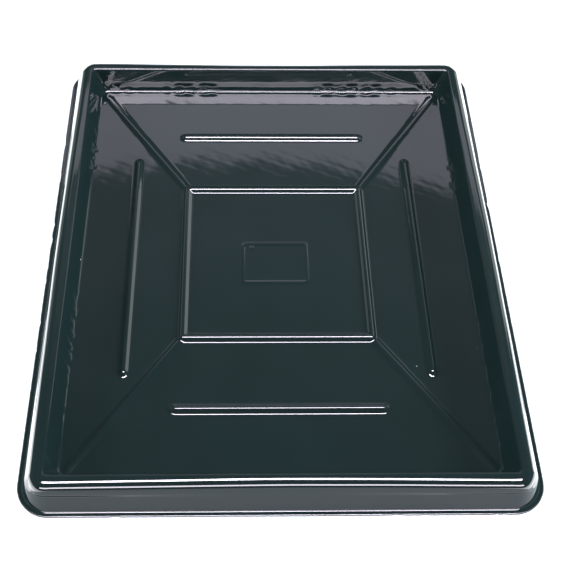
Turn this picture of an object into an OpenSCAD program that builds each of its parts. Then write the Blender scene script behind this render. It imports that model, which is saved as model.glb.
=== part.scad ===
// Shallow roller tray: one formed plastic sheet with a raised hollow rim, a
// turned-out lip and a flat floor stiffened by raised beads.
// Millimetres, +Z up, origin under the middle of the tray at the resting plane,
// +Y along the longer side.

/* [Sheet] */

// Width over the lip, along X
tray_width = 600; // [560:5:660]

// Length over the lip, along Y
tray_length = 702; // [660:2:760]

// Height of the rim above the resting plane
tray_height = 40; // [34:1:46]

// Sheet thickness
sheet = 2.4; // [1.8:0.2:3]

/* [Rim] */

// Flat lip outside the skirt
lip_width = 7; // [5:0.5:10]

// Horizontal run of the sloping outer skirt
skirt_run = 15; // [10:0.5:18]

// Width across the rim top
rim_width = 13.5; // [12:0.5:20]

// Plan radius of the lip corners
lip_corner = 39; // [36:1:50]

// Radius of the rim's outer shoulder
shoulder_r = 10; // [4:0.5:10]

// Radius between skirt and lip
root_r = 2; // [1.5:0.5:4]

/* [Well] */

// Horizontal run of the sloping inner wall
wall_run = 9; // [7:0.5:13]

// Plan radius of the well corners at the rim
corner_top = 4; // [3:0.5:6]

// Plan radius of the well corners at the floor
corner_foot = 14; // [12:0.5:18]

/* [Floor beads] */

// Width of the frame and rib beads
bead_width = 15.5; // [14:0.5:20]

// Height of the frame and rib beads above the floor
bead_height = 4.5; // [3.5:0.25:6]

// Width of the diagonal beads
diagonal_width = 13; // [10:0.5:15]

// Height of the diagonal beads above the floor
diagonal_height = 1.5; // [1:0.25:3]

// Half the side of the square frame, to the bead centre
frame_half = 119; // [105:0.5:125]

// Distance of the side ribs from the middle, along X
side_rib_at = 189.5; // [180:0.5:195]

// Half length of the side ribs
side_rib_half = 175; // [150:1:180]

// Distance of the end ribs from the middle, along Y
end_rib_at = 216.5; // [200:0.5:230]

// Half length of the end ribs
end_rib_half = 132.5; // [110:0.5:140]

// Shift of the frame and ribs along Y from the middle of the tray
pattern_shift = -4; // [-10:1:10]

/* [Centre panel] */

// Width of the centre panel, to the middle of the raised line round it
panel_width = 84; // [60:1:100]

// Length of the centre panel, to the middle of the raised line round it
panel_length = 62; // [40:1:80]

// Width of the raised line
line_width = 3; // [2:0.5:4]

// Height of the raised line above the floor
line_rise = 0.8; // [0.4:0.1:1.2]

// Shift of the panel along Y from the middle of the tray
panel_shift = -8.5; // [-15:0.5:5]

/* [Hidden] */

$fn = 96;
over = 1;
panel_corner = 3;

half_x = tray_width / 2;
half_y = tray_length / 2;

// Skirt: lean from the vertical, and the inset of an arc tangent to it and a level face
skirt_lean = atan(skirt_run / (tray_height - sheet));
arc_inset = (1 - sin(skirt_lean)) / cos(skirt_lean);
skirt_foot = lip_corner - lip_width;
skirt_top = skirt_foot - skirt_run;

// Well: half sizes at the rim, lean of its walls, and the cone that rounds its corners
rim_offset = lip_width + skirt_run + rim_width;
well_x = half_x - rim_offset;
well_y = half_y - rim_offset;
depth = tray_height - sheet;
wall_slope = wall_run / depth;
wall_lean = atan(wall_slope);
corner_growth = (corner_foot - corner_top) / depth;
axis_shift = corner_growth + wall_slope;
axis_lean = atan(axis_shift * sqrt(2));
cone_half = asin(cos(axis_lean) * (axis_shift * cos(wall_lean) - sin(wall_lean)));
cone_span = acos((pow(sin(wall_lean), 2) - pow(sin(cone_half), 2)) / pow(cos(cone_half), 2));
apex_rise = corner_top / corner_growth;
cone_length = 3 * tray_height;
corner_over = 1.5;

// Where the diagonal beads end, their round ends just clear of the well corners' feet
floor_x = well_x - wall_run;
floor_y = well_y - wall_run;
end_gap = 1;
corner_inset = corner_foot - (corner_foot - diagonal_width / 2 - end_gap) * sqrt(0.5);

// Straight beads, each as its two end points
side_end = side_rib_half - bead_width / 2;
end_end = end_rib_half - bead_width / 2;
straight_beads = [
    for (s = [-1, 1]) each [
        [[-frame_half, s * frame_half], [frame_half, s * frame_half]],
        [[s * frame_half, -frame_half], [s * frame_half, frame_half]],
        [[s * side_rib_at, -side_end], [s * side_rib_at, side_end]],
        [[-end_end, s * end_rib_at], [end_end, s * end_rib_at]]
    ]
];

function bead_radius(w, h) = (w * w / 4 + h * h) / (2 * h);

// Section of the rim's outer side, from a corner centre outwards. "inset" is the
// distance below the sheet's upper face: 0 for the upper face, sheet for the lower.
module rim_section(inset) {
    low = sheet - inset;
    high = tray_height - inset;
    root = [skirt_foot + root_r * arc_inset, sheet + root_r];
    shoulder = [skirt_top - shoulder_r * arc_inset, tray_height - shoulder_r];
    out = [cos(skirt_lean), sin(skirt_lean)];
    difference() {
        union() {
            polygon([
                [0, low], [root[0], low], root - (root_r + inset) * out,
                shoulder + (shoulder_r - inset) * out, [shoulder[0], high], [0, high]
            ]);
            intersection() {
                translate(shoulder) circle(r = shoulder_r - inset);
                square([lip_corner, tray_height]);
            }
        }
        translate(root) circle(r = root_r + inset);
    }
}

// Solid block under the rim, with the section carried round all four sides.
module mound(inset) {
    side_x = half_x - lip_corner;
    side_y = half_y - lip_corner;
    translate([-side_x, -side_y, sheet - inset])
        cube([2 * side_x, 2 * side_y, tray_height - sheet]);
    for (k = [0, 1]) {
        rotate([0, 0, 180 * k]) {
            translate([side_x, side_y, 0]) rotate([90, 0, 0])
                linear_extrude(height = 2 * side_y) rim_section(inset);
            translate([-side_x, side_y, 0]) rotate([90, 0, 90])
                linear_extrude(height = 2 * side_x) rim_section(inset);
            translate([side_x, side_y, 0]) rotate_extrude(angle = 90) rim_section(inset);
            translate([-side_x, side_y, 0]) rotate([0, 0, 90])
                rotate_extrude(angle = 90) rim_section(inset);
        }
    }
}

// Section of the well between two facing walls, "half" wide each side at the rim.
module well_section(half, grow, low) {
    high = tray_height + over;
    at_high = half + grow / cos(wall_lean) + over * wall_slope;
    at_low = at_high - (high - low) * wall_slope;
    polygon([[-at_low, low], [at_low, low], [at_high, high], [-at_high, high]]);
}

// What rounds one well corner: all that lies outside a leaning cone there. The cone is a
// little wider than the corner, so that it meets the walls at a clear angle.
module corner_fill(grow) {
    translate([-corner_over, 0, 0]) rotate([0, axis_lean, 0])
        translate([0, 0, (grow + corner_over) / sin(cone_half)]) rotate([0, 0, -cone_span / 2])
            rotate_extrude(angle = cone_span)
                polygon([
                    [0, 0], [cone_length * tan(cone_half), -cone_length],
                    [cone_length, -cone_length], [cone_length, 0]
                ]);
}

// The well as a solid from the level "low" up, its walls moved outwards by "grow".
module well(grow, low) {
    apex_x = well_x + apex_rise * wall_slope;
    apex_y = well_y + apex_rise * wall_slope;
    difference() {
        intersection() {
            translate([0, tray_length, 0]) rotate([90, 0, 0])
                linear_extrude(height = 2 * tray_length) well_section(well_x, grow, low);
            translate([-tray_width, 0, 0]) rotate([90, 0, 90])
                linear_extrude(height = 2 * tray_width) well_section(well_y, grow, low);
        }
        for (sx = [-1, 1], sy = [-1, 1])
            translate([sx * apex_x, sy * apex_y, tray_height + apex_rise])
                rotate([0, 0, atan2(sy, sx)]) corner_fill(grow);
    }
}

module rounded_plate(w, l, r, h) {
    translate([-w / 2 + r, -l / 2, 0]) cube([w - 2 * r, l, h]);
    translate([-w / 2, -l / 2 + r, 0]) cube([w, l - 2 * r, h]);
    for (sx = [-1, 1], sy = [-1, 1])
        translate([sx * (w / 2 - r), sy * (l / 2 - r), 0]) cylinder(r = r, h = h);
}

// Round-backed bead between two points of the floor.
module bead(from, to, w, h, inset) {
    r = bead_radius(w, h);
    run = to - from;
    translate([from[0], from[1], sheet + h - r])
        rotate([0, 90, atan2(run[1], run[0])]) {
            cylinder(r = r - inset, h = norm(run));
            sphere(r = r - inset);
            translate([0, 0, norm(run)]) sphere(r = r - inset);
        }
}

// The frame, the ribs round it and the diagonals out of the frame's corners.
module beads(inset) {
    shift = [0, pattern_shift];
    intersection() {
        union() {
            for (ends = straight_beads)
                bead(ends[0] + shift, ends[1] + shift, bead_width, bead_height, inset);
            for (sx = [-1, 1], sy = [-1, 1])
                bead([sx * frame_half, sy * frame_half] + shift,
                    [sx * (floor_x - corner_inset), sy * (floor_y - corner_inset)],
                    diagonal_width, diagonal_height, inset);
        }
        translate([-half_x, -half_y, inset > 0 ? -over : sheet / 2])
            cube([tray_width, tray_length, tray_height]);
    }
}

// Raised line round the blank centre panel, rooted in the sheet.
module panel_line() {
    translate([0, panel_shift, sheet / 2])
        difference() {
            rounded_plate(panel_width + line_width, panel_length + line_width,
                panel_corner + line_width / 2, sheet / 2 + line_rise);
            translate([0, 0, -over])
                rounded_plate(panel_width - line_width, panel_length - line_width,
                    panel_corner - line_width / 2, sheet + line_rise + over);
        }
}

module tray() {
    color([0.02, 0.035, 0.038])
    difference() {
        union() {
            difference() {
                union() {
                    rounded_plate(tray_width, tray_length, lip_corner, sheet);
                    mound(0);
                }
                well(0, sheet);
            }
            beads(0);
            panel_line();
        }
        difference() {
            mound(sheet);
            well(sheet, -over);
        }
        beads(sheet);
    }
}

tray();
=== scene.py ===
import math

import bpy
import numpy as np
from mathutils import Matrix, Vector


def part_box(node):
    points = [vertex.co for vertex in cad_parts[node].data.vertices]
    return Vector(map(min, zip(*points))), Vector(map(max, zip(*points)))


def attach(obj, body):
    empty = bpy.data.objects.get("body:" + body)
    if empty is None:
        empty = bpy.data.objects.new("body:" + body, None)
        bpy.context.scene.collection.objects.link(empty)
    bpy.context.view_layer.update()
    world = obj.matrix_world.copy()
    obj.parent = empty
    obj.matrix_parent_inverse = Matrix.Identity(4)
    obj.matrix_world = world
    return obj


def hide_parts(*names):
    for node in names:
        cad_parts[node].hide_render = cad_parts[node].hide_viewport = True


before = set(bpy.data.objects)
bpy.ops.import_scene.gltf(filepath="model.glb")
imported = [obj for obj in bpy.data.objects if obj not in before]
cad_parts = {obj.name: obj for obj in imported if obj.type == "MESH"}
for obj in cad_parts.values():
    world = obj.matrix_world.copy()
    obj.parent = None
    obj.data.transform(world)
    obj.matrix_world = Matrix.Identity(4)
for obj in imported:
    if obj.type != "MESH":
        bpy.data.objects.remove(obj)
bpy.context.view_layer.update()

# ---------------------------------------------------------------- sizes, in millimetres
MM = 0.001
_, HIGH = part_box("tray")
HALF_X, HALF_Y, HEIGHT = HIGH.x / MM, HIGH.y / MM, HIGH.z / MM

SHEET = 2.4

# The rim's section, by distance in from the lip's edge: lip, skirt, rim top, wall and floor.
# The ends and the long sides each have a skirt and radii of their own.
LIP_WIDTH, RIM_INNER, WALL_RUN = 6.0, 35.5, 9.0
FOOT = RIM_INNER + WALL_RUN
FLOOR_EDGE = 10.0
END_RIM = {"skirt_run": 17.5, "shoulder_r": 13.5, "foot_r": 3.0}
SIDE_RIM = {"skirt_run": 11.5, "shoulder_r": 12.0, "foot_r": 3.5}
ROOT_R, EDGE_R = 2.0, 2.6
ARC_STEPS, RUN_STEPS = (4, 16, 5, 6), (4, 14, 5, 18, 2)

# Plan radii of the lip's corners and of the well's corners at the floor
LIP_CORNER, CORNER_FOOT = 39.0, 14.0
LEAST_RADIUS, LEAST_INNER_RADIUS = 0.5, 0.2

# The lip's cut edge: how far in from it both faces end, and the levels of its own two loops
TRIM = 0.6
CUT_HIGH, CUT_LOW = SHEET - 0.5, 0.4
FACE_WEAR, CUT_WEAR = 0.7, 1.0

# Floor beads: half width, height, and the radii of crest and foot
BEAD = {"half": 7.75, "height": 4.4, "crest": 3.2, "foot": 3.0}
DIAGONAL = {"half": 7.0, "height": 1.4, "crest": 14.0, "foot": 4.0}
DIAGONAL_INSET = 0.6 * CORNER_FOOT
FRAME_HALF = 119.0
SIDE_RIB_AT, SIDE_RIB_HALF = 189.5, 175.0
END_RIB_AT, END_RIB_HALF = 216.5, 132.5
PATTERN_SHIFT = -4.0

# Centre panel: half sizes to its raised line, and a small pip inside it
PANEL_X, PANEL_Y, PANEL_CORNER = 42.0, 31.0, 3.0
PANEL_SHIFT = -8.5
LINE_HALF, LINE_HEIGHT = 2.4, 0.55
PIP_AT, PIP_R, PIP_HEIGHT = (-31.0, 24.0), 3.0, 1.6

# Floor grid: its cells, and how far the finer ones reach to each side of a bead or a line
CELL, FINE_CELL = 2.2, 1.1
LEAST_CELL = 0.6 * FINE_CELL
BEAD_REACH, LINE_REACH = BEAD["half"] + 1, 4.0
CORNER_CELLS = 10
CORNER_ZONE = CELL * CORNER_CELLS

# Ripples that the forming left: their lengths, the steepest slope of each, and a seed
FLOOR_RIPPLES = [((61,), math.radians(0.08), 3), ((27, 17, 12, 9), math.radians(0.14), 9)]
LIP_RIPPLES = ((60, 33, 19), math.radians(0.2), 4)
RIM_RIPPLES = ((170, 110, 70), math.radians(0.25), 5)
WALL_WRINKLES = ((23, 15, 10), math.radians(11), 7)
WRINKLE_PATCHES = ((160, 95, 60), 0.04, 8)

# How far each set is sunk below the true section
LIP_SINK, RIM_SINK, WRINKLE_SINK = 0.08, 0.25, 0.3

# Rim ripples grow over this height. Wrinkles come and go by share of the inner wall's depth,
# and stop PAST_FOOT beyond its foot.
RIPPLE_RISE = 8
WRINKLE_START, WRINKLE_FADE_IN = 0.58, 0.22
WRINKLE_END, WRINKLE_FADE_OUT = 1.04, 0.1
PATCH_LEVEL = 0.45
PAST_FOOT = 2

# The rough cut edge and its chips: reach in points of the loop, bite in millimetres
EDGE_SEED, EDGE_ROUGHNESS = 11, 0.25
CHIPS, CHIP_REACH, CHIP_BITE = 26, (2, 5), (0.3, 1.1)


# ---------------------------------------------------------------- floor relief
def bead_height(distance, half, height, crest, foot):
    """Height of a bead by distance from its middle: round crest, straight flank, hollow foot."""
    round_sum = crest + foot
    reach = math.hypot(half, round_sum - height)
    flank = math.asin(round_sum / reach) - math.atan2(round_sum - height, half)
    crest_end = crest * math.sin(flank)
    foot_start = half - foot * math.sin(flank)
    top = height - crest + np.sqrt(np.clip(crest**2 - distance**2, 0, None))
    slope = height - crest * (1 - math.cos(flank)) - (distance - crest_end) * math.tan(flank)
    flare = foot - np.sqrt(np.clip(foot**2 - (half - distance) ** 2, 0, None))
    bead = np.where(distance < crest_end, top, np.where(distance < foot_start, slope, flare))
    return np.where(distance < half, bead, 0.0)


def distance_to(points, start, end):
    """Distance of each point from a straight stretch of the floor."""
    start, run = np.array(start, float), np.array(end, float) - np.array(start, float)
    along = np.clip(((points - start) @ run) / (run @ run), 0, 1)
    return np.linalg.norm(points - start - along[:, None] * run, axis=1)


def bead_lines():
    """Every bead as (start, end, profile)."""
    side_end = SIDE_RIB_HALF - BEAD["half"]
    end_end = END_RIB_HALF - BEAD["half"]
    lines = []
    for s in (-1, 1):
        lines += [
            ((-FRAME_HALF, s * FRAME_HALF), (FRAME_HALF, s * FRAME_HALF), BEAD),
            ((s * FRAME_HALF, -FRAME_HALF), (s * FRAME_HALF, FRAME_HALF), BEAD),
            ((s * SIDE_RIB_AT, -side_end), (s * SIDE_RIB_AT, side_end), BEAD),
            ((-end_end, s * END_RIB_AT), (end_end, s * END_RIB_AT), BEAD),
        ]
    shift = np.array([0, PATTERN_SHIFT])
    lines = [(np.array(a) + shift, np.array(b) + shift, p) for a, b, p in lines]
    corner_x, corner_y = HALF_X - FOOT - DIAGONAL_INSET, HALF_Y - FOOT - DIAGONAL_INSET
    for sx in (-1, 1):
        for sy in (-1, 1):
            start = np.array([sx * FRAME_HALF, sy * FRAME_HALF]) + shift
            end = np.array([sx * corner_x, sy * corner_y])
            lines.append((start, end, DIAGONAL))
    return lines


def waves(points, lengths, slope, seed):
    """Sum of seeded straight ripples; slope is the steepest that each gives."""
    rng = np.random.default_rng(seed)
    total = np.zeros(len(points))
    for length in lengths:
        direction = rng.normal(size=points.shape[1])
        direction /= np.linalg.norm(direction)
        phase = rng.uniform(0, 2 * math.pi)
        turns = points @ direction / length
        total += slope * length / (2 * math.pi) * np.sin(2 * math.pi * turns + phase)
    return total


def smooth_step(x):
    """Eased rise from 0 to 1 as x goes from 0 to 1."""
    x = np.clip(x, 0, 1)
    return x * x * (3 - 2 * x)


def panel_lines(points):
    """Thin raised line round the blank centre panel, and a small round pip inside it."""
    inner = np.array([PANEL_X, PANEL_Y]) - PANEL_CORNER
    past = np.abs(points) - inner
    outside = np.linalg.norm(np.clip(past, 0, None), axis=1)
    edge = outside + np.minimum(past.max(axis=1), 0) - PANEL_CORNER
    line = LINE_HEIGHT * np.clip(1 - (edge / LINE_HALF) ** 2, 0, None)
    from_pip = np.linalg.norm(points - np.array(PIP_AT), axis=1)
    return np.maximum(line, PIP_HEIGHT * smooth_step(1 - from_pip / PIP_R))


def floor_relief(points, inset):
    """Height of a face of the floor over its flat level; inset is 0 above, SHEET below."""
    height = np.zeros(len(points))
    for start, end, p in bead_lines():
        d = distance_to(points, start, end)
        shape = {**p, "crest": p["crest"] - inset, "foot": p["foot"] + inset}
        height = np.maximum(height, bead_height(d, **shape))
    if inset == 0:
        height += panel_lines(points - np.array([0, PANEL_SHIFT]))
        for ripples in FLOOR_RIPPLES:
            height += waves(points, *ripples)
    return height


# ---------------------------------------------------------------- rim section
def rounded_path(corners, radii):
    """Open path through the corners, each one rounded; every point comes as (u, z)."""
    corners = [np.array(c, float) for c in corners]
    path = [corners[0]]

    def run_to(point, steps):
        start = path[-1]
        path.extend(start + (point - start) * k / steps for k in range(1, steps + 1))

    for k, r in enumerate(radii):
        before, corner, after = corners[k:k + 3]
        a = (before - corner) / np.linalg.norm(before - corner)
        b = (after - corner) / np.linalg.norm(after - corner)
        half = math.acos(np.clip(a @ b, -1, 1)) / 2
        reach = r / math.tan(half)
        centre = corner + (a + b) / np.linalg.norm(a + b) * r / math.sin(half)
        first, last = corner + a * reach - centre, corner + b * reach - centre
        turn = math.pi - 2 * half
        run_to(centre + first, RUN_STEPS[k])
        for step in range(1, ARC_STEPS[k] + 1):
            t = step / ARC_STEPS[k]
            arc = (math.sin((1 - t) * turn) * first + math.sin(t * turn) * last) / math.sin(turn)
            path.append(centre + arc)
    run_to(corners[-1], RUN_STEPS[-1])
    return np.array(path)


def upper_section(skirt_run, shoulder_r, foot_r):
    """The sheet's upper face from the lip's edge inwards: u is the distance in from the edge."""
    corners = [
        (TRIM, SHEET), (LIP_WIDTH, SHEET), (LIP_WIDTH + skirt_run, HEIGHT), (RIM_INNER, HEIGHT),
        (FOOT, SHEET), (FOOT + FLOOR_EDGE, SHEET),
    ]
    return rounded_path(corners, [ROOT_R, shoulder_r, EDGE_R, foot_r])


def section_normals(section):
    """Unit vectors square to the section, on its upper side."""
    run = np.gradient(section, axis=0)
    normals = np.stack([-run[:, 1], run[:, 0]], axis=1)
    return normals / np.linalg.norm(normals, axis=1)[:, None]


def corner_radius(u, z):
    """Plan radius of the corner at a point of the section."""
    if u <= RIM_INNER:
        return LIP_CORNER - u
    depth = min(max((HEIGHT - z) / (HEIGHT - SHEET), 0), 1)
    top = LIP_CORNER - RIM_INNER
    return top + (CORNER_FOOT - top) * depth


# ---------------------------------------------------------------- mesh
def half_corner(t, half, off, radius, zone):
    """Point at share t of the way from a straight stretch to the middle of the corner."""
    straight = zone - radius
    d = t * (straight + radius * math.pi / 4)
    if d <= straight or radius == 0:
        return half - zone + d, off
    a = (d - straight) / radius
    return half - radius + radius * math.sin(a), off - radius + radius * math.cos(a)


def outline(half_x, half_y, radius, xs, ys):
    """Closed loop round a rounded rectangle, its points in step with the floor grid's lines."""
    zone = max(CORNER_ZONE, radius)
    shares = [k / CORNER_CELLS for k in range(CORNER_CELLS, 0, -1)]
    sides = [
        ((1, 0), half_x, half_y, xs),
        ((0, 1), half_y, half_x, ys),
        ((-1, 0), half_x, half_y, -xs[::-1]),
        ((0, -1), half_y, half_x, -ys[::-1]),
    ]
    points = []
    for (c, s), half, off, lines in sides:
        corner = [half_corner(t, half, off, radius, zone) for t in shares]
        straight = lines[CORNER_CELLS:-CORNER_CELLS]
        straight = straight * (half - zone) / straight[-1]
        side = [(-along, out) for along, out in corner]
        side += [(along, off) for along in straight]
        side += [(along, out) for along, out in reversed(corner[1:])]
        points += [(along * c + out * s, along * s - out * c) for along, out in side]
    return np.array(points)


def crease_places(beads, line, shift):
    """Where the floor grid is finer, as (place, reach), for the beads and lines across an axis."""
    places = [(at, BEAD_REACH) for at in beads] + [(line, LINE_REACH)]
    return [(sign * at + shift, reach) for at, reach in places for sign in (-1, 1)]


def grid_lines(half, creases):
    """Places of the floor grid's lines from -half to half, closer together over the creases."""
    lines = [-half]
    while lines[-1] < half - LEAST_CELL:
        near = any(abs(lines[-1] - place) < reach for place, reach in creases)
        lines.append(lines[-1] + (FINE_CELL if near else CELL))
    lines = np.array(lines)
    return lines * half / lines[-1] if lines[-1] > half else np.append(lines[:-1], half)


class Skin:
    """Grows the tray's mesh loop by loop."""

    def __init__(self):
        self.points, self.faces, self.count = [], [], 0

    def add(self, points):
        first = self.count
        self.points.append(points)
        self.count += len(points)
        return first + np.arange(len(points))

    def band(self, inner, outer):
        """Faces between two loops of the same count."""
        self.faces.append(
            np.stack([inner, outer, np.roll(outer, -1), np.roll(inner, -1)], axis=1)
        )

    def patch(self, rows, flip):
        """Faces of a grid given as rows of indices."""
        quads = np.stack(
            [rows[:-1, :-1], rows[:-1, 1:], rows[1:, 1:], rows[1:, :-1]], axis=-1
        ).reshape(-1, 4)
        self.faces.append(quads[:, ::-1] if flip else quads)


def grid_loop(rows):
    """The border of a grid, in the order that outline() uses."""
    return np.concatenate([rows[0, :-1], rows[:-1, -1], rows[-1, :0:-1], rows[:0:-1, 0]])


def forming_ripples(points, u, z):
    """How far the formed sheet stands off its true section, at a point (u, z) of the section."""
    slack = smooth_step((z - SHEET) / RIPPLE_RISE)
    push = slack * (waves(points, *RIM_RIPPLES) - RIM_SINK)
    if RIM_INNER < u < FOOT + PAST_FOOT:
        depth = (HEIGHT - z) / (HEIGHT - SHEET)
        low = smooth_step((depth - WRINKLE_START) / WRINKLE_FADE_IN)
        low *= smooth_step((WRINKLE_END - depth) / WRINKLE_FADE_OUT)
        patches = smooth_step(PATCH_LEVEL + waves(points, *WRINKLE_PATCHES))
        push = push + low * (patches * waves(points, *WALL_WRINKLES) - WRINKLE_SINK)
    return push


def trimmed_edge(count):
    """How far the rough cut edge of the lip falls short, with a few chips."""
    rng = np.random.default_rng(EDGE_SEED)
    short = rng.uniform(0, EDGE_ROUGHNESS, count)
    for _ in range(CHIPS):
        middle, reach = rng.integers(count), rng.integers(*CHIP_REACH)
        for k in range(-reach, reach + 1):
            bite = rng.uniform(*CHIP_BITE) * (1 - abs(k) / (reach + 1))
            short[(middle + k) % count] += bite
    return short


def build_tray():
    """The whole formed sheet as one closed mesh: both faces and the cut edge between them."""
    upper, side_upper = upper_section(**END_RIM), upper_section(**SIDE_RIM)
    normals, side_normals = section_normals(upper), section_normals(side_upper)
    grid_x = HALF_X - FOOT - FLOOR_EDGE - CORNER_ZONE
    grid_y = HALF_Y - FOOT - FLOOR_EDGE - CORNER_ZONE
    xs = grid_lines(grid_x, crease_places((FRAME_HALF, SIDE_RIB_AT), PANEL_X, 0))
    ys = grid_lines(grid_y, crease_places((FRAME_HALF, END_RIB_AT), PANEL_Y, PATTERN_SHIFT))
    rough = trimmed_edge(len(outline(HALF_X, HALF_Y, LIP_CORNER, xs, ys)))
    skin = Skin()

    def loop(u, z, radius):
        """Level loop round the tray, at a distance u in from the lip's edge."""
        plan = outline(HALF_X - u, HALF_Y - u, radius, xs, ys)
        return np.column_stack([plan, np.full(len(plan), z)])

    def rim_loop(k, inset):
        """Loop number k of the section, on the sheet's upper face or inset below it."""
        base_u, base_z = upper[k]
        u, z = upper[k] - normals[k] * inset
        base_radius = corner_radius(base_u, base_z)
        radius = max(base_radius + base_u - u, LEAST_RADIUS)
        ring = loop(u, z, radius)
        inward = loop(u + 1, z, max(radius - 1, LEAST_INNER_RADIUS)) - ring
        side_u, side_z = side_upper[k] - side_normals[k] * inset
        share = inward[:, 0] ** 2 / (inward**2).sum(axis=1)
        ring += inward * ((side_u - u) * share)[:, None]
        ring[:, 2] += (side_z - z) * share
        outer = loop(base_u, base_z, max(base_radius, LEAST_RADIUS))
        push = forming_ripples(outer, base_u, base_z)
        ring += inward * (normals[k][0] * push)[:, None]
        ring[:, 2] += normals[k][1] * push
        if k == 0:
            ring += inward * rough[:, None]
        elif base_u < LIP_WIDTH and inset == 0:
            ring[:, 2] += waves(ring[:, :2], *LIP_RIPPLES) - LIP_SINK
        if u > FOOT:
            level = SHEET - inset
            fade = smooth_step((u - FOOT) / FLOOR_EDGE)
            ring[:, 2] = np.maximum(ring[:, 2], level + fade * floor_relief(ring[:, :2], inset))
        return ring

    def floor_side(inset):
        """Floor grid and the loops out to the lip's edge, for one face of the sheet."""
        level = SHEET - inset
        gx, gy = np.meshgrid(xs, ys)
        plan = np.column_stack([gx.ravel(), gy.ravel()])
        z = level + floor_relief(plan, inset)
        rows = skin.add(np.column_stack([plan, z])).reshape(gx.shape)
        skin.patch(rows, inset > 0)
        last = grid_loop(rows)
        grid_u, inner_u = HALF_X - grid_x, upper[-1][0]
        rings = []
        for k in range(1, CORNER_CELLS):
            share = k / CORNER_CELLS
            u = grid_u + (inner_u - grid_u) * share
            ring = loop(u, level, CORNER_FOOT * share)
            ring[:, 2] += floor_relief(ring[:, :2], inset)
            rings.append(ring)
        rings += [rim_loop(k, inset) for k in reversed(range(len(upper)))]
        for ring in rings:
            ids = skin.add(ring)
            skin.band(*((last, ids) if inset == 0 else (ids, last)))
            last = ids
        return last

    def cut_edge(z):
        """Loop of the lip's cut edge at the level z."""
        ring = loop(0, z, LIP_CORNER)
        return ring + (loop(1, z, LIP_CORNER - 1) - ring) * rough[:, None]

    top_edge = floor_side(0)
    bottom_edge = floor_side(SHEET)
    side_high = skin.add(cut_edge(CUT_HIGH))
    side_low = skin.add(cut_edge(CUT_LOW))
    for inner, outer in ((top_edge, side_high), (side_high, side_low), (side_low, bottom_edge)):
        skin.band(inner, outer)

    mesh = bpy.data.meshes.new("formed_tray")
    points = np.concatenate(skin.points) * MM
    mesh.from_pydata(points.tolist(), [], np.concatenate(skin.faces).tolist())
    trim = mesh.attributes.new("trim", "FLOAT", "POINT")
    worn = np.zeros(skin.count)
    worn[np.concatenate([top_edge, bottom_edge])] = FACE_WEAR
    worn[np.concatenate([side_high, side_low])] = CUT_WEAR
    trim.data.foreach_set("value", worn)
    mesh.validate()
    mesh.shade_smooth()
    tray = bpy.data.objects.new("formed_tray", mesh)
    bpy.context.scene.collection.objects.link(tray)
    return tray


# ---------------------------------------------------------------- materials
class Nodes:
    """Short calls for wiring up one node tree."""

    def __init__(self, tree):
        self.tree = tree

    def add(self, kind):
        return self.tree.nodes.new("ShaderNode" + kind)

    def link(self, source, target):
        self.tree.links.new(source, target)

    def feed(self, socket, source):
        """Give a socket a plain number or colour, or another node's output."""
        if isinstance(source, (float, tuple)):
            socket.default_value = source
        else:
            self.link(source, socket)

    def place(self, kind):
        return self.add("TexCoord").outputs[kind]

    def noise(self, where, scale, detail):
        node = self.add("TexNoise")
        node.inputs["Scale"].default_value = scale
        node.inputs["Detail"].default_value = detail
        self.link(where, node.inputs["Vector"])
        return node.outputs["Fac"]

    def map(self, value, *limits):
        """Carry a value over from one range to another: from low, from high, to low, to high."""
        node = self.add("MapRange")
        for name, limit in zip(("From Min", "From Max", "To Min", "To Max"), limits):
            node.inputs[name].default_value = limit
        self.link(value, node.inputs["Value"])
        return node.outputs["Result"]

    def math(self, kind, a, b):
        node = self.add("Math")
        node.operation = kind
        self.feed(node.inputs[0], a)
        self.feed(node.inputs[1], b)
        return node.outputs[0]

    def colour_mix(self, share, a, b):
        """Blend of two colours, each a plain colour or the output of another blend."""
        node = self.add("Mix")
        node.data_type = "RGBA"
        self.link(share, node.inputs[0])
        self.feed(node.inputs[6], a)
        self.feed(node.inputs[7], b)
        return node.outputs[2]

    def ramp(self, source, stops):
        """Grey level by position, straight between the stops."""
        node = self.add("ValToRGB")
        elements = node.color_ramp.elements
        while len(elements) < len(stops):
            elements.new(0.5)
        for element, (position, grey) in zip(elements, stops):
            element.position = position
            element.color = (grey, grey, grey, 1)
        self.link(source, node.inputs[0])
        return node.outputs[0]


PLASTIC = (0.0056, 0.0131, 0.0142, 1)
PLASTIC_PALE = (0.0064, 0.0146, 0.0158, 1)
RAW_EDGE = (0.05, 0.055, 0.056, 1)
DUST = (0.35, 0.36, 0.36, 1)

# Noise scales are in features per metre, roughness on the shader's scale of 0 to 1
CLOUD_SCALE, WEAR_SCALE, GLOSS_SCALE, GRAIN_SCALE = 14.0, 160.0, 22.0, 130.0
DUST_SCALE, DUST_EDGE, DUST_CHOSEN = 28.0, (0.018, 0.032), (0.78, 0.8)
SCRATCH_SCALE, SCRATCH_TURN, SCRATCH_CUT = (9, 260, 60), (0, 0, 0.5), (0.68, 0.74)
GLOSS_LOW, GLOSS_HIGH = 0.04, 0.06
SCUFF_ROUGH, DUST_ROUGH, EDGE_ROUGH = 0.05, 0.6, 0.4
GRAIN_DEPTH = 0.00001
PLASTIC_IOR = 1.5


def dust_specks(n, place):
    """Small round specks in a chosen few of the cells of a cell pattern."""
    cells = n.add("TexVoronoi")
    cells.inputs["Scale"].default_value = DUST_SCALE
    n.link(place, cells.inputs["Vector"])
    pick = n.add("SeparateColor")
    n.link(cells.outputs["Color"], pick.inputs[0])
    near = n.map(cells.outputs["Distance"], *DUST_EDGE, 1.0, 0.0)
    chosen = n.map(pick.outputs[0], *DUST_CHOSEN, 0.0, 1.0)
    return n.math("MULTIPLY", near, chosen)


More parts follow.
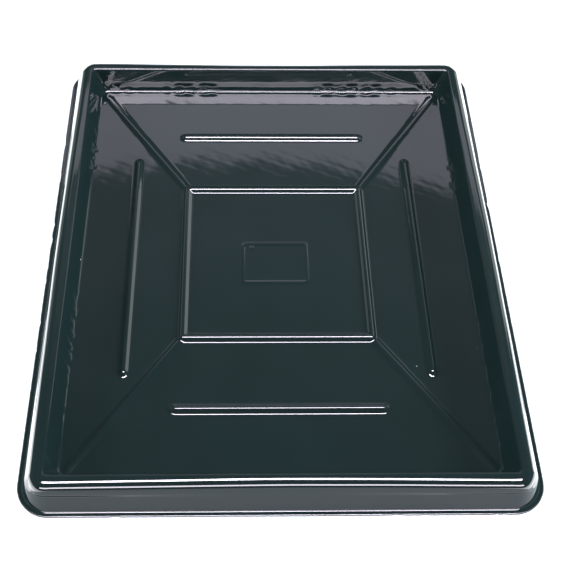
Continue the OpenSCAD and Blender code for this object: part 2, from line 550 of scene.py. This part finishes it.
def scuff_marks(n, place):
    """Fine marks that run one way across the tray."""
    stretched = n.add("Mapping")
    stretched.inputs["Scale"].default_value = SCRATCH_SCALE
    stretched.inputs["Rotation"].default_value = SCRATCH_TURN
    n.link(place, stretched.inputs["Vector"])
    return n.map(n.noise(stretched.outputs[0], 1.0, 2.0), *SCRATCH_CUT, 0.0, SCUFF_ROUGH)


def gloss_plastic():
    material = bpy.data.materials.new("black_gloss_plastic")
    material.use_nodes = True
    n = Nodes(material.node_tree)
    shader = n.tree.nodes["Principled BSDF"]
    place = n.place("Object")
    dust = dust_specks(n, place)
    trim = n.add("Attribute")
    trim.attribute_name = "trim"
    patchy = n.map(n.noise(place, WEAR_SCALE, 2.0), 0.35, 0.6, 0.3, 1.0)
    worn = n.math("MULTIPLY", trim.outputs["Fac"], patchy)

    cloud = n.map(n.noise(place, CLOUD_SCALE, 3.0), 0.35, 0.65, 0.0, 1.0)
    colour = n.colour_mix(cloud, PLASTIC, PLASTIC_PALE)
    colour = n.colour_mix(worn, colour, RAW_EDGE)
    colour = n.colour_mix(dust, colour, DUST)
    n.link(colour, shader.inputs["Base Color"])

    rough = n.map(n.noise(place, GLOSS_SCALE, 3.0), 0.3, 0.7, GLOSS_LOW, GLOSS_HIGH)
    rough = n.math("ADD", rough, scuff_marks(n, place))
    rough = n.math("ADD", rough, n.map(dust, 0.0, 1.0, 0.0, DUST_ROUGH))
    rough = n.math("ADD", rough, n.map(trim.outputs["Fac"], 0.0, 1.0, 0.0, EDGE_ROUGH))
    n.link(rough, shader.inputs["Roughness"])

    bump = n.add("Bump")
    bump.inputs["Strength"].default_value = 1.0
    bump.inputs["Distance"].default_value = GRAIN_DEPTH
    n.link(n.noise(place, GRAIN_SCALE, 2.0), bump.inputs["Height"])
    n.link(bump.outputs[0], shader.inputs["Normal"])
    shader.inputs["IOR"].default_value = PLASTIC_IOR
    return material


STUDIO_SIZE, STUDIO_DROP = 12, 0.0005
STUDIO_FLOOR = {
    "Base Color": (0.3, 0.31, 0.34, 1),
    "Emission Color": (0.84, 0.91, 1, 1),
    "Emission Strength": 0.95,
    "Roughness": 1.0,
    "Specular IOR Level": 0.0,
}


def pale_floor():
    """Plain pale floor, which glows a little so that it is an even near-white."""
    bpy.ops.mesh.primitive_plane_add(size=STUDIO_SIZE)
    floor = bpy.context.object
    floor.name = "studio_floor"
    material = bpy.data.materials.new("studio_floor")
    material.use_nodes = True
    shader = material.node_tree.nodes["Principled BSDF"]
    for name, value in STUDIO_FLOOR.items():
        shader.inputs[name].default_value = value
    floor.data.materials.append(material)
    floor.location.z = -STUDIO_DROP


# ---------------------------------------------------------------- lights
def area_light(name, place, target, size, radiance, shows, colour=(1, 1, 1)):
    """Plain panel of light that shows only as a reflection or only lights matt surfaces."""
    data = bpy.data.lights.new(name, "AREA")
    data.shape = "RECTANGLE"
    data.size, data.size_y = size
    data.energy = radiance * size[0] * size[1] * math.pi
    data.color = colour
    light = bpy.data.objects.new(name, data)
    bpy.context.scene.collection.objects.link(light)
    light.location = place
    light.rotation_mode = "QUATERNION"
    light.rotation_quaternion = (Vector(target) - Vector(place)).to_track_quat("-Z", "Y")
    light.visible_camera = False
    light.visible_diffuse = shows == "matt"
    light.visible_glossy = shows == "gloss"


def reflected_panels():
    """Panels that show only as reflections in the plastic."""
    area_light(
        "overhead_softbox", (0.1, -0.54, 2.0), (0.1, -0.54, 0), (1.8, 0.5), 70.0, "gloss",
        (1, 0.92, 1.06),
    )
    area_light(
        "front_light", (0, -6, 2.85), (0, -2, 2.85), (7.5, 1.7), 20.0, "gloss", (1, 0.95, 1.06)
    )
    middle = (0, 0, 0)
    area_light("right_card", (1.57, 1.1, 0.58), middle, (0.9, 0.8), 2.2, "gloss")
    area_light("left_card", (-1.57, 1.1, 0.5), middle, (0.9, 0.6), 0.8, "gloss")


def matt_fills():
    """Soft light that reaches only matt surfaces, from above and from both sides."""
    area_light("overhead_fill", (0, -0.3, 2.0), (0, -0.1, 0), (2.4, 2.0), 3.7, "matt")
    for name, side, radiance in (("right_fill", 1, 20.0), ("left_fill", -1, 11.0)):
        area_light(name, (side * 1.8, 0, 0.5), (0, 0, 0), (1.5, 1.0), radiance, "matt")


def table_glow():
    """The pale table beside the tray, as the skirt reflects it."""
    for side in (-1, 1):
        beside = side * 0.61
        area_light("table_glow", (beside, 0.1, 0), (beside, 0.1, 1), (0.6, 1.6), 4.0, "gloss")


def sine(degrees):
    return math.sin(math.radians(degrees))


# The backdrop's glow by the sine of the height above level, and by how far to the side it is
GLOW_BY_HEIGHT = [
    (0.0, 0.9), (sine(9), 0.9), (sine(11), 0.0), (sine(43), 0.0), (sine(44), 1.0),
    (sine(48.6), 1.0), (sine(49.2), 0.11), (sine(54), 0.13), (sine(60), 0.06), (sine(68), 0.0),
]
GLOW_BY_SIDE = [(0.37, 0.0), (0.40, 1.0), (0.66, 1.0), (0.70, 0.0)]
DIM, GLOW, WHITE = (0.12, 0.12, 0.12, 1), (1.75, 1.66, 1.95, 1), (1.0, 1.0, 1.0, 1.0)


def backdrop():
    """World that reflects as a dim room with a pale backdrop ahead, and is white to the camera."""
    world = bpy.data.worlds.new("studio")
    world.use_nodes = True
    bpy.context.scene.world = world
    n = Nodes(world.node_tree)
    split = n.add("SeparateXYZ")
    n.link(n.place("Generated"), split.inputs[0])
    by_height = n.ramp(split.outputs["Z"], GLOW_BY_HEIGHT)
    ahead = n.math("MAXIMUM", split.outputs["Y"], 0.001)
    aside = n.math("DIVIDE", split.outputs["X"], ahead)
    aside = n.math("MULTIPLY", n.math("ADD", aside, 2.0), 0.25)
    by_side = n.ramp(aside, GLOW_BY_SIDE)
    glow = n.colour_mix(n.math("MULTIPLY", by_height, by_side), DIM, GLOW)
    seen = n.colour_mix(n.add("LightPath").outputs["Is Camera Ray"], glow, WHITE)
    n.link(seen, n.tree.nodes["Background"].inputs["Color"])


# ---------------------------------------------------------------- camera
SENSOR, FOCAL = 36, 55.07
SHIFT_X, SHIFT_Y = 0.0584, -0.0086
CAMERA_AT = (-0.051, -0.6706, 0.9655)
PITCH, YAW, ROLL = (math.radians(a) for a in (56.806, 2.092, 1.669))


def camera():
    """Camera that looks down by PITCH and to the right of +Y by YAW, turned by ROLL."""
    data = bpy.data.cameras.new("camera")
    data.sensor_width = SENSOR
    data.lens = FOCAL
    data.shift_x, data.shift_y = SHIFT_X, SHIFT_Y
    cam = bpy.data.objects.new("camera", data)
    bpy.context.scene.collection.objects.link(cam)
    level = math.cos(PITCH)
    forward = Vector((math.sin(YAW) * level, math.cos(YAW) * level, -math.sin(PITCH)))
    right = Vector((math.cos(YAW), -math.sin(YAW), 0))
    up = right.cross(forward)
    rolled_right = right * math.cos(ROLL) + up * math.sin(ROLL)
    rolled_up = up * math.cos(ROLL) - right * math.sin(ROLL)
    turn = Matrix((rolled_right, rolled_up, -forward)).transposed()
    cam.rotation_mode = "QUATERNION"
    cam.rotation_quaternion = turn.to_quaternion()
    cam.location = CAMERA_AT
    bpy.context.scene.camera = cam


tray = build_tray()
tray.data.materials.append(gloss_plastic())
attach(tray, "root")
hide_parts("tray")
pale_floor()
reflected_panels()
matt_fills()
table_glow()
backdrop()
camera()
bpy.context.scene.view_settings.view_transform = "Standard"
